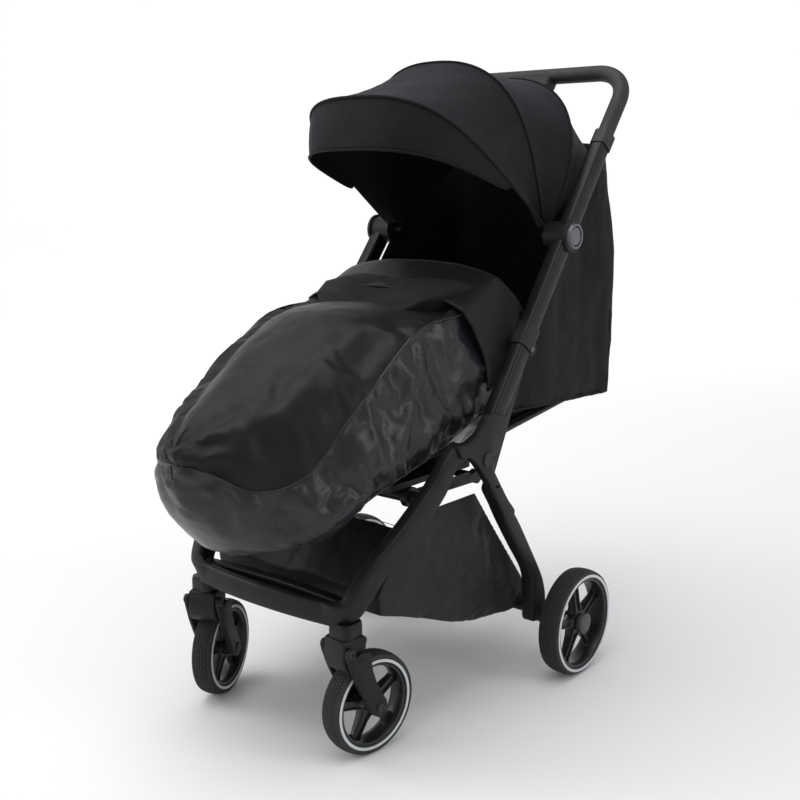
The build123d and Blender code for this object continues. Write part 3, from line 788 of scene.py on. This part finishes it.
def front_rail():
    """Both front legs and the bar between them, in one smooth line."""
    half = np.array(FRONT_RAIL, float) / 1000
    other = half[:-1][::-1] * np.array([-1, 1, 1, 1])
    path = smooth_line(np.vstack([half, other]), 220)
    p = path[:, :3]
    tangent = np.gradient(p, axis=0)
    tangent /= np.linalg.norm(tangent, axis=1)[:, None]
    rows = []
    for q, t, deep in zip(p, tangent, path[:, 3]):
        w = min(max((abs(q[0]) - 0.118) / 0.045, 0), 1)
        up = np.array([0, -0.74, 0.67]) * w + np.array([0, 0.12, 1]) * (1 - w)
        a = np.cross(t, up)
        a /= np.linalg.norm(a)
        b = np.cross(a, t)
        wide = 0.015 + 0.009 * w
        rows.append([q + x * a + y * b for x, y in box_section(wide, deep, 0.0062)])
    return grid("front_rail", rows, MOULDING, 40, wrap_u=True, caps=True)


for side, sign in SIDES.items():
    leg = rear_leg()
    if sign < 0:
        moved(leg, MIRROR)
    leg.name = f"{side}_rear_leg"
    place(leg, "rear_frame", [f"rear_leg_{side}"])
    ends = []
    for s, x in ((0.016, 0.1925), (0.20, 0.1899), (0.40, 0.1873), (0.57, 0.185)):
        ends.append((sign * x, LEG_HUB[0] + s * cos(TUBE_LEAN), LEG_HUB[1] + s * sin(TUBE_LEAN)))
    profile = box_section(0.024, 0.030, 0.0065)
    tube = sweep(f"{side}_push_tube", smooth_line(ends, 24), profile, PAINT, up=(0, -0.794, 0.607))
    place(tube, "push_frame", [f"push_tube_{side}"])
    rim_line = [(0.2036, 0.0158), (0.2092, 0.0166), (0.2097, 0.0180), (0.2092, 0.0196), (0.2036, 0.0206)]
    ring = lathe(f"{side}_canopy_cap_ring", rim_line, 64, BUTTON)
    moved(ring, Matrix.Translation(CANOPY_HUB))
    if sign < 0:
        moved(ring, MIRROR)
    place(ring, "push_frame")

place(front_rail(), "chassis", ["front_leg_left", "front_leg_right", "footrest_bar"])
lip = []
for x in np.linspace(-0.150, 0.150, 50):
    bow = (x / 0.145) ** 2
    lip.append((x, -0.219 - 0.016 * bow, 0.2215 - 0.003 * (1 - bow)))
place(
    sweep("footrest_lip", lip, box_section(0.019, 0.011, 0.004), MOULDING, up=(0, 0, 1)), "chassis",
)
tray = []
for y_line, z in ((0, 0.2135), (0, 0.2065), (1, 0.2065), (1, 0.2135)):
    row = []
    for x in np.linspace(-0.146, 0.146, 50):
        outer = -0.270 + 0.020 * (x / 0.146) ** 4
        row.append((x, outer if y_line == 0 else -0.222 - 0.010 * (x / 0.146) ** 2, z))
    tray.append(row)
place(grid("footrest_tray", tray, DARK, 30, wrap_v=True), "chassis")

# ---- canopy ----

# Each arch: angle, reach, squareness, how far its sides lean out, how that grows, half width at the hub.
FRONT_ARCH = (radians(144.3), 0.3526, 2.67, 0.0462, 2.30, 0.1620)
MIDDLE_ARCH = (radians(110.0), 0.2853, 2.39, 0.0527, 1.66, 0.1522)
REAR_ARCH = (radians(68.2), 0.2753, 2.23, 0.0577, 0.79, 0.1507)
BACK_ARCH = (radians(35.52), 0.262, 3.1, 0.012, 1.0, 0.1600)
ACROSS = 110


def arch_point(arch, u, drop=0.0):
    angle, reach, square, lean, grow, half = arch
    c, s = cos(u), max(sin(u), 0)
    x = (half + lean * s**grow) * (abs(c) ** (2 / square)) * (1 if c >= 0 else -1)
    r = reach * s ** (2 / square)
    if drop:
        x *= 1 - 0.049 * drop
        r *= 1 - 0.075 * drop
    a = angle + radians(12.1) * drop
    return np.array([x, HUB_Y + r * cos(a), HUB_Z + r * sin(a)])


def arch_steps(arch):
    """Angles round an arch at even distances, from just above one hub to the other."""
    u = np.linspace(0.03, pi - 0.03, 600)
    p = np.array([arch_point(arch, k) for k in u])
    s = np.r_[0, np.cumsum(np.linalg.norm(np.diff(p, axis=0), axis=1))]
    return np.interp(np.linspace(0, s[-1], ACROSS), s, u)


def peak_drop(u):
    start = 0.29
    if u <= start or u >= pi - start:
        return 0.01
    return 0.01 + 0.99 * sin(pi * (u - start) / (pi - 2 * start)) ** 0.3


front_steps = arch_steps(FRONT_ARCH)
arches = [np.array([arch_point(FRONT_ARCH, u, peak_drop(u)) for u in front_steps])]
for arch in (FRONT_ARCH, MIDDLE_ARCH, REAR_ARCH, BACK_ARCH):
    arches.append(np.array([arch_point(arch, u) for u in arch_steps(arch)]))
edge, front_arch, middle_arch, rear_arch, back_arch = arches
rows = []
for a, b, count, dip in (
    (edge, front_arch, 14, -0.003),
    (front_arch, middle_arch, 22, 0.008),
    (middle_arch, rear_arch, 18, 0.006),
    (rear_arch, back_arch, 12, 0.004),
):
    for k in range(count):
        t = k / count
        row = a + (b - a) * t
        inward = row - CANOPY_HUB
        inward[:, 0] *= 0.5
        inward /= np.linalg.norm(inward, axis=1)[:, None]
        row = row - inward * dip * 4 * t * (1 - t)
        if b is not front_arch:
            steps = np.arange(ACROSS)
            low = np.clip(1 - np.minimum(steps, ACROSS - 1 - steps) / 34, 0, 1)
            folds = ripple(row, 0.0045, 16.0, 5.0, (0.6, 1.4, 0.5)) * low
            folds += ripple(row, 0.0014, 24.0, 2.0)
            row = row + inward * (folds * 4 * t * (1 - t))[:, None]
        rows.append(row)
rows.append(back_arch)


def thick(o, depth, inner):
    """Give a surface thickness on its inner side, lined with another fabric."""
    o.data.materials.append(inner)
    solid = o.modifiers.new("thick", "SOLIDIFY")
    solid.thickness = depth
    solid.offset = -1
    solid.material_offset = 1
    baked(o)
    o.data.shade_smooth()
    return o


def on_canopy(o, nodes=()):
    """The canopy stretches between the fixed tubes and the front arch; here its pieces are only baked in
    place, on no moving body.
    """
    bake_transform(o)
    if nodes:
        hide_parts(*nodes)
    return o


sheet = grid("canopy_fabric", rows, CANOPY, 0)
face_outwards(sheet, CANOPY_HUB)
thick(sheet, 0.0018, LINING)
on_canopy(sheet, ["canopy_visor", "canopy_panel_front", "canopy_panel_rear"])
for name, line, r, node in (
    ("canopy_front_piping", front_arch, 0.0024, "canopy_rib_front"),
    ("canopy_middle_piping", middle_arch, 0.0022, "canopy_rib_middle"),
    ("canopy_rear_piping", rear_arch, 0.0020, "canopy_rib_rear"),
    ("canopy_peak_binding", edge, 0.0019, None),
):
    path = [q + 0.0006 * (q - CANOPY_HUB) / np.linalg.norm(q - CANOPY_HUB) for q in line]
    cord = sweep(name, path, round_section(r, 10), PIPING, up=(0, 1, 0.2), sharp=0)
    on_canopy(cord, [node] if node else ())
for side, sign in SIDES.items():
    path = [arch_point(FRONT_ARCH, k if sign > 0 else pi - k) for k in (0.008, 0.012, 0.02, 0.03, 0.042)]
    on_canopy(sweep(f"{side}_rib_end", path, round_section(0.0024, 12), STEEL, up=(1, 0, 0)))

# ---- foot muff ----

# Each station: the top panel's seam, the ridge above it, the lower edge, the underside's middle,
# how far the side panel swells, and how far it swings back.
MUFF = [
    ((0, -425, 440), (-425, 440), (0, -350, 304), (-350, 304), 17, 0),
    ((30, -419, 438), (-427, 460), (30, -343, 305), (-330, 301), 17, 0),
    ((58, -399, 428), (-416, 485), (56, -329, 308), (-305, 306), 17, 0),
    ((80, -372, 409), (-388, 509), (80, -316, 312), (-280, 317), 16, 0),
    ((101, -341, 404), (-352, 531), (103, -298, 319), (-252, 330), 15, 0),
    ((119, -312, 414), (-317, 551), (125, -275, 328), (-226, 343), 15, 0),
    ((131, -284, 437), (-285, 568), (143, -254, 345), (-200, 356), 16, 0),
    ((141, -242, 483), (-243, 592), (154, -222, 370), (-175, 373), 17, 0),
    ((148, -200, 521), (-203, 611), (162, -178, 388), (-140, 385), 14, 0),
    ((151, -160, 556), (-166, 625), (166, -135, 401), (-110, 388), 10, 0),
    ((152, -118, 586), (-128, 631), (167, -91, 413), (-80, 388), 7, 0),
    ((151, -80, 600), (-92, 632), (167, -50, 427), (-50, 388), 6, 0),
    ((151, -40, 604), (-54, 632), (167, -9, 442), (-20, 388), 6, 6),
    ((151, -4, 606), (-14, 633), (167, 30, 453), (6, 389), 6, 16),
    ((152, 30, 617), (24, 643), (167, 62, 464), (30, 391), 6, 28),
    ((151, 62, 636), (60, 658), (166, 88, 484), (50, 394), 6, 42),
    ((148, 94, 653), (93, 672), (164, 110, 508), (64, 397), 5, 54),
]
ALONG, TOP, SIDE, UNDER = 96, 20, 26, 12
MUFF_MIDDLE = np.array([0, 0.05, 0.50])


def muff_loops():
    table = [[*s, 0, *c, *b, 0, *d, swell, back] for s, c, b, d, swell, back in MUFF]
    table = smooth_line(np.array(table, float) / 1000, ALONG)
    loops = []
    for k, row in enumerate(table):
        s, c, b, d = row[0:3], row[3:6], row[6:9], row[9:12]
        swell, back = row[12], row[13]
        ahead = table[min(k + 1, ALONG - 1)][0:3] - table[max(k - 1, 0)][0:3]
        out = np.array([ahead[1], -ahead[0], 0])
        out = out / max(np.linalg.norm(out), 1e-9)
        loop = []
        for i in range(TOP):
            t = i / TOP
            q = c + (s - c) * t
            q[0] = s[0] * t
            q[2] = c[2] + (s[2] - c[2]) * t**2.7
            loop.append(q)
        for i in range(SIDE):
            t = i / SIDE
            q = s + (b - s) * t + out * swell * sin(pi * t**0.85) + np.array([0, back * sin(pi * t), 0])
            loop.append(q)
        for i in range(UNDER + 1):
            t = i / UNDER
            q = b + (d - b) * t
            q[2] = d[2] + (b[2] - d[2]) * (1 - t) ** 4
            loop.append(q)
        loops.append(np.array(loop))
    return np.array(loops)


def full_loop(half):
    """Both sides of a loop from the ridge round to the ridge again."""
    other = half[1:-1][::-1] * np.array([-1, 1, 1])
    return np.vstack([half, other])


def muff():
    loops = muff_loops()
    rim = loops[-1]
    middle = np.array([0, 0.075, 0.56])
    inside = []
    lining_steps = ((4, -4), (11, -2), (15, 12), (17, 40), (24, 85), (50, 130), (100, 160))
    for inset, deep in np.array(lining_steps) / 1000:
        toward = middle - rim
        toward[:, 1] *= 0.2
        size = np.linalg.norm(toward, axis=1)[:, None]
        ring = rim + toward / size * np.minimum(inset, size * 0.9)
        ring[:, 1] -= deep
        inside.append(ring)
    rows = [full_loop(l) for l in list(loops[1:]) + inside]
    first = loops[0]
    first[:, 0] = 0
    m = len(rows[0])
    made = grid("foot_muff_shell", rows, SATIN, 0, wrap_u=True)
    made.data.materials.append(NYLON)
    made.data.materials.append(LINING)
    outside = len(loops) - 1
    for poly in made.data.polygons:
        row, col = poly.index // m, poly.index % m
        from_ridge = min(col, m - 1 - col)
        if row >= outside - 1:
            poly.material_index = 2
        elif from_ridge >= TOP:
            poly.material_index = 1
    bm = bmesh.new()
    bm.from_mesh(made.data)
    bm.verts.ensure_lookup_table()
    nose = [bm.verts[j] for j in range(m)]
    last = [bm.verts[(len(rows) - 1) * m + j] for j in range(m)]
    tip = [bm.verts.new(first[0])]
    centre_line = [bm.verts.new(q) for q in first[TOP:-1]]
    half = TOP + SIDE + UNDER
    # The nose's middle line: its first loop shrinks to a line down the front.
    spine = [tip[0]] * (TOP + 1) + centre_line[1:] + [bm.verts.new(first[-1])]
    for j in range(half):
        a, b = spine[j], spine[j + 1]
        for x, y, flip in ((nose[j], nose[j + 1], False), (nose[(m - j) % m], nose[(m - j - 1) % m], True)):
            loop = [a, b, y, x] if not flip else [x, y, b, a]
            loop = [v for i, v in enumerate(loop) if v not in loop[:i]]
            if len(loop) > 2:
                face = bm.faces.new(loop)
                face.smooth = True
                face.material_index = 0 if j < TOP else 1
    end = bm.faces.new(last[::-1])
    end.material_index = 2
    bmesh.ops.remove_doubles(bm, verts=bm.verts, dist=2e-5)
    bmesh.ops.delete(bm, geom=[v for v in bm.verts if not v.link_faces], context="VERTS")
    bmesh.ops.recalc_face_normals(bm, faces=bm.faces)
    bm.to_mesh(made.data)
    bm.free()
    return made, loops


def near(o, lines, reach):
    """One for each vertex within reach of any of the points, otherwise nought."""
    points = np.vstack(lines)
    tree = kdtree.KDTree(len(points))
    for i, q in enumerate(points):
        tree.insert(q, i)
    tree.balance()
    return np.array([1.0 if tree.find(v.co)[2] < reach else 0.0 for v in o.data.vertices])


def mirrored(line):
    return np.array(line) * np.array([-1, 1, 1])


def on_muff(o, nodes=()):
    place(o, "seat", nodes)


shell, loops = muff()
top_seam = loops[:, TOP]
low_seam = loops[:, TOP + SIDE]
rim = full_loop(loops[-1])
seams = [top_seam, mirrored(top_seam), low_seam, mirrored(low_seam), rim]
held = near(shell, seams, 0.004)
co = points_of(shell)
for poly in shell.data.polygons:
    if poly.material_index == 2:
        held[list(poly.vertices)] = 1
n = normals_of(shell)
free = 1 - held
flank = np.clip(1.2 - np.abs(n[:, 2]) * 1.6, 0.12, 1)
swing = ripple(co, 0.004, 9.0, 3.0, (1, 1, 0.45)) + ripple(co, 0.0012, 26.0, 8.0, (1, 0.6, 1))
swing += 0.0035 - np.abs(ripple(co, 0.016, 13.0, 11.0, (1, 1.1, 0.32)))
swing -= np.abs(ripple(co, 0.005, 30.0, 15.0, (1, 0.8, 0.5)))
set_points(shell, co + n * (swing * free * flank)[:, None])
crumple(shell, held, 0.05, pressure=0.5, gravity=0.15, limit=0.013, stiff=0.9)
on_muff(shell, ["foot_muff"])
for name, line, gather in (("muff_top_seam", top_seam, 0.3), ("muff_lower_seam", low_seam, 0.35)):
    both = np.vstack([mirrored(line)[::-1], line[1:]])
    on_muff(seam(name, both, NYLON, 0.0017, gather))
on_muff(seam("muff_rim_binding", rim, PIPING, 0.0024, 0.15, closed=True))
front = loops[0][TOP:TOP + SIDE]
on_muff(seam("muff_front_seam", front, NYLON, 0.0013, 0.3))


def band():
    """The muff's top edge folded over outwards, lying on the shell."""
    rows = []
    start = next(k for k, l in enumerate(loops) if l[0][1] > -0.016)
    chosen = loops[start:]
    for k, half in enumerate(chosen):
        t = k / (len(chosen) - 1)
        keep = half[:TOP + 21]
        full = np.vstack([mirrored(keep)[::-1], keep[1:]])
        side = np.roll(full, -1, 0) - np.roll(full, 1, 0)
        side[0], side[-1] = full[1] - full[0], full[-1] - full[-2]
        ahead = chosen[min(k + 1, len(chosen) - 1)][:TOP + 21] - chosen[max(k - 1, 0)][:TOP + 21]
        ahead = np.vstack([mirrored(ahead)[::-1], ahead[1:]])
        out = np.cross(ahead, side)
        out /= np.maximum(np.linalg.norm(out, axis=1), 1e-9)[:, None]
        out *= np.sign(np.sum(out * (full - MUFF_MIDDLE), axis=1))[:, None]
        lift = 0.0085 - 0.0045 * t + ripple(full, 0.002, 22.0, 9.0, (1, 1, 1)) * (1 - 0.6 * t)
        rows.append(full + out * lift[:, None])
    made = grid("muff_band", rows, SATIN, 0)
    face_outwards(made, MUFF_MIDDLE)
    thick(made, 0.0035, NYLON)
    return made, rows[0]


turned_over, lower_edge = band()
on_muff(turned_over)
stitched = [q + np.array([0, 0.007, 0.0012]) for q in lower_edge[10:-10]]
on_muff(stitches("muff_band_stitching", stitched, THREAD, (0, -0.2, 1)))

for piece in (
    shell, turned_over,
    *[o for o in bpy.data.objects if o.name.startswith("muff_") and o != turned_over],
):
    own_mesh(piece)

# ---- back wall ----

WALL_Z = (0.434, 0.52, 0.59, 0.70, 0.80, 0.87)
WALL_FRONT = (0.074, 0.094, 0.146, 0.228, 0.302, 0.356)


def wall_back(z):
    return np.interp(z, (0.434, 0.52, 0.70, 0.86), (0.428, 0.438, 0.434, 0.424))


def wall_row(z, hem):
    """A level line round the open-fronted fabric wall, from one tube to the other."""
    front = np.interp(z, WALL_Z, WALL_FRONT)
    back = wall_back(z)
    side = 0.1688
    corner = 0.022 + 0.05 * min(max((z - 0.70) / 0.17, 0), 1)
    half = [(side, y) for y in np.linspace(front, back - corner, 26)]
    for t in np.linspace(0, pi / 2, 9)[1:]:
        half.append((side - corner + corner * cos(t), back - corner + corner * sin(t)))
    half += [(x, back) for x in np.linspace(side - corner, 0, 14)[1:]]
    full = half + [(-x, y) for x, y in half[::-1][1:]]
    row = []
    for x, y in full:
        level = z + hem * (back - y) / (back - front)
        top = min(0.868, 0.722 + 0.714 * max(y - HUB_Y, 0))
        row.append((x, y, min(level, top + 0.01 * max(level - top, 0))))
    return row


rows = []
for z in np.linspace(0.434, 0.872, 60):
    rows.append(wall_row(z, 0.014 * (0.872 - z) / 0.438))
wall = grid("back_wall_fabric", rows, CANOPY, 0)
co = points_of(wall)
n = normals_of(wall)
if float(np.mean(n[:, 0] * co[:, 0])) < 0:
    wall.data.flip_normals()
    n = -n
low = np.clip((0.52 - co[:, 2]) / 0.09, 0, 1)
waves = ripple(co, 0.006, 10.0, 4.0, (1, 1.6, 0.35)) + ripple(co, 0.0015, 30.0, 1.0, (1, 1, 0.6))
waves += low**2 * 0.002 * np.sin(co[:, 1] * 260 + co[:, 0] * 260)
pinned = np.clip((co[:, 1] - np.interp(co[:, 2], WALL_Z, WALL_FRONT)) / 0.02, 0, 1)
outside = np.minimum(waves, 0.0025)
set_points(wall, co + n * (outside * pinned)[:, None])
thick(wall, 0.0016, LINING)
place(wall, "push_frame", ["back_wall"])
place(seam("back_wall_hem", rows[0], PIPING, 0.0028, 0.3), "push_frame")
for side, sign in SIDES.items():
    corner_line = []
    for z in np.linspace(0.44, 0.715, 24):
        corner_line.append((sign * 0.1694, wall_back(z) - 0.023, z))
    place(seam(f"back_wall_seam_{side}", corner_line, PIPING, 0.0013, 0.1), "push_frame")

# ---- cushions, basket ----


def softened(node, name, material, voxel, rounds, swell, folds, seed):
    """A soft shape from a plain block: rounded, crowned and slightly uneven."""
    o = copy_of(frame["nodes"][node], name, Matrix.Identity(4))
    o.data.materials.clear()
    o.data.materials.append(material)
    remesh = o.modifiers.new("even", "REMESH")
    remesh.mode = "VOXEL"
    remesh.voxel_size = voxel
    smooth = o.modifiers.new("soft", "SMOOTH")
    smooth.factor = 0.5
    smooth.iterations = rounds
    baked(o)
    co = points_of(o)
    push = swell + ripple(co, folds, 8.0, seed, (1, 1, 0.7)) + ripple(co, folds * 0.3, 30.0, seed + 3)
    set_points(o, co + normals_of(o) * push[:, None])
    o.data.shade_smooth()
    return o


pad = softened("backrest_pad", "backrest_cushion", CANOPY, 0.005, 14, 0.001, 0.0015, 2.0)
place(pad, "backrest", ["backrest_pad"])
carrier = softened("basket", "basket_carrier", BASKET, 0.0022, 6, 0.0004, 0.0, 5.0)
co = points_of(carrier)
lean = ripple(co, 0.012, 6.0, 6.0, (0.3, 1.3, 0.5))
lean -= np.abs(ripple(co, 0.005, 11.0, 9.0, (0.3, 0.9, 1.6)))
basket_rim = np.interp(co[:, 1], (-0.206, -0.10, 0.02, 0.182), (0.236, 0.334, 0.334, 0.128))
ups = np.clip((basket_rim - co[:, 2]) / 0.05, 0, 1)
side = np.sign(co[:, 0]) * np.clip((np.abs(co[:, 0]) - 0.10) / 0.06, 0, 1)
co[:, 0] += side * ups * np.minimum(lean, 0.003)
sag = 0.8 * ripple(co * np.array([1, 1, 0]), 0.010, 9.0, 2.0)
co[:, 2] += np.clip(1 - np.abs(co[:, 0]) / 0.17, 0, 1) * sag
set_points(carrier, co)
place(carrier, "chassis", ["basket"])

# ---- CAD parts that keep their shape ----

KEPT = {
    PAINT: "seat_cross_tube seat_links seat_frame backrest_frame rear_axle",
    MOULDING: "axle_brackets link_collars canopy_hubs trigger_housing brake_pedal fold_trigger "
    "seat_board backrest_board",
    GRIP: "handle",
    BUTTON: "canopy_button_left canopy_button_right",
    BAND: "rear_reflective_rings_left rear_reflective_rings_right "
    "front_reflective_rings_left front_reflective_rings_right",
    DARK: "hub_pins",
    STEEL: "link_pins swivel_pin_left swivel_pin_right",
}
for material, names in KEPT.items():
    for name in names.split():
        node = frame["nodes"][name]
        node.data.materials.clear()
        node.data.materials.append(material)

# ---- stage ----

floor_paint = Shader("pale_floor", 0.9, 0.1)
uneven = floor_paint.noise(floor_paint.coords(False), 0.8, 2)
floor_paint.to("Base Color", floor_paint.blend(uneven, (0.86, 0.86, 0.865), (0.885, 0.885, 0.89)))
turned_back = floor_paint.coords(False, turn=-AIM)
behind = floor_paint.node("ShaderNodeSeparateXYZ", {"Vector": turned_back}).outputs["Y"]
floor_paint.to("Emission Strength", floor_paint.ramp(behind, 0.5, 3.4, 0, 0.42))
floor_paint.bsdf.inputs["Emission Color"].default_value = (1, 1, 1, 1)
rows = []
for t in np.linspace(0, 1, 40):
    y = -6 + 14 * min(t / 0.6, 1)
    lift = max(t - 0.6, 0) / 0.4
    rows.append([(x, y + 2.2 * sin(lift * pi / 2), 5.0 * (1 - cos(lift * pi / 2))) for x in (-9, -3, 3, 9)])
turned = Matrix.Rotation(AIM, 4, "Z")
backdrop = moved(grid("backdrop", rows, floor_paint.made, 0), turned)

world = bpy.data.worlds.new("studio")
bpy.context.scene.world = world
world.use_nodes = True
world.node_tree.nodes["Background"].inputs["Color"].default_value = (0.97, 0.98, 1.0, 1)
world.node_tree.nodes["Background"].inputs["Strength"].default_value = 0.58
bpy.context.scene.view_settings.view_transform = "Standard"


def soft_light(name, at, aim, size, power):
    data = bpy.data.lights.new(name, "AREA")
    data.shape = "RECTANGLE"
    data.size, data.size_y = size
    data.energy = power
    light = bpy.data.objects.new(name, data)
    bpy.context.collection.objects.link(light)
    light.location = at
    light.rotation_mode = "QUATERNION"
    light.rotation_quaternion = (Vector(aim) - Vector(at)).to_track_quat("-Z", "Y")
    return light


soft_light("top_softbox", (-0.3, -0.6, 3.0), (0, 0, 0.4), (2.6, 2.2), 48)
soft_light("left_softbox", (-2.6, -1.6, 1.7), (0, 0, 0.5), (1.6, 2.0), 30)
soft_light("right_softbox", (2.9, 0.6, 1.6), (0, 0, 0.5), (1.2, 2.0), 18)
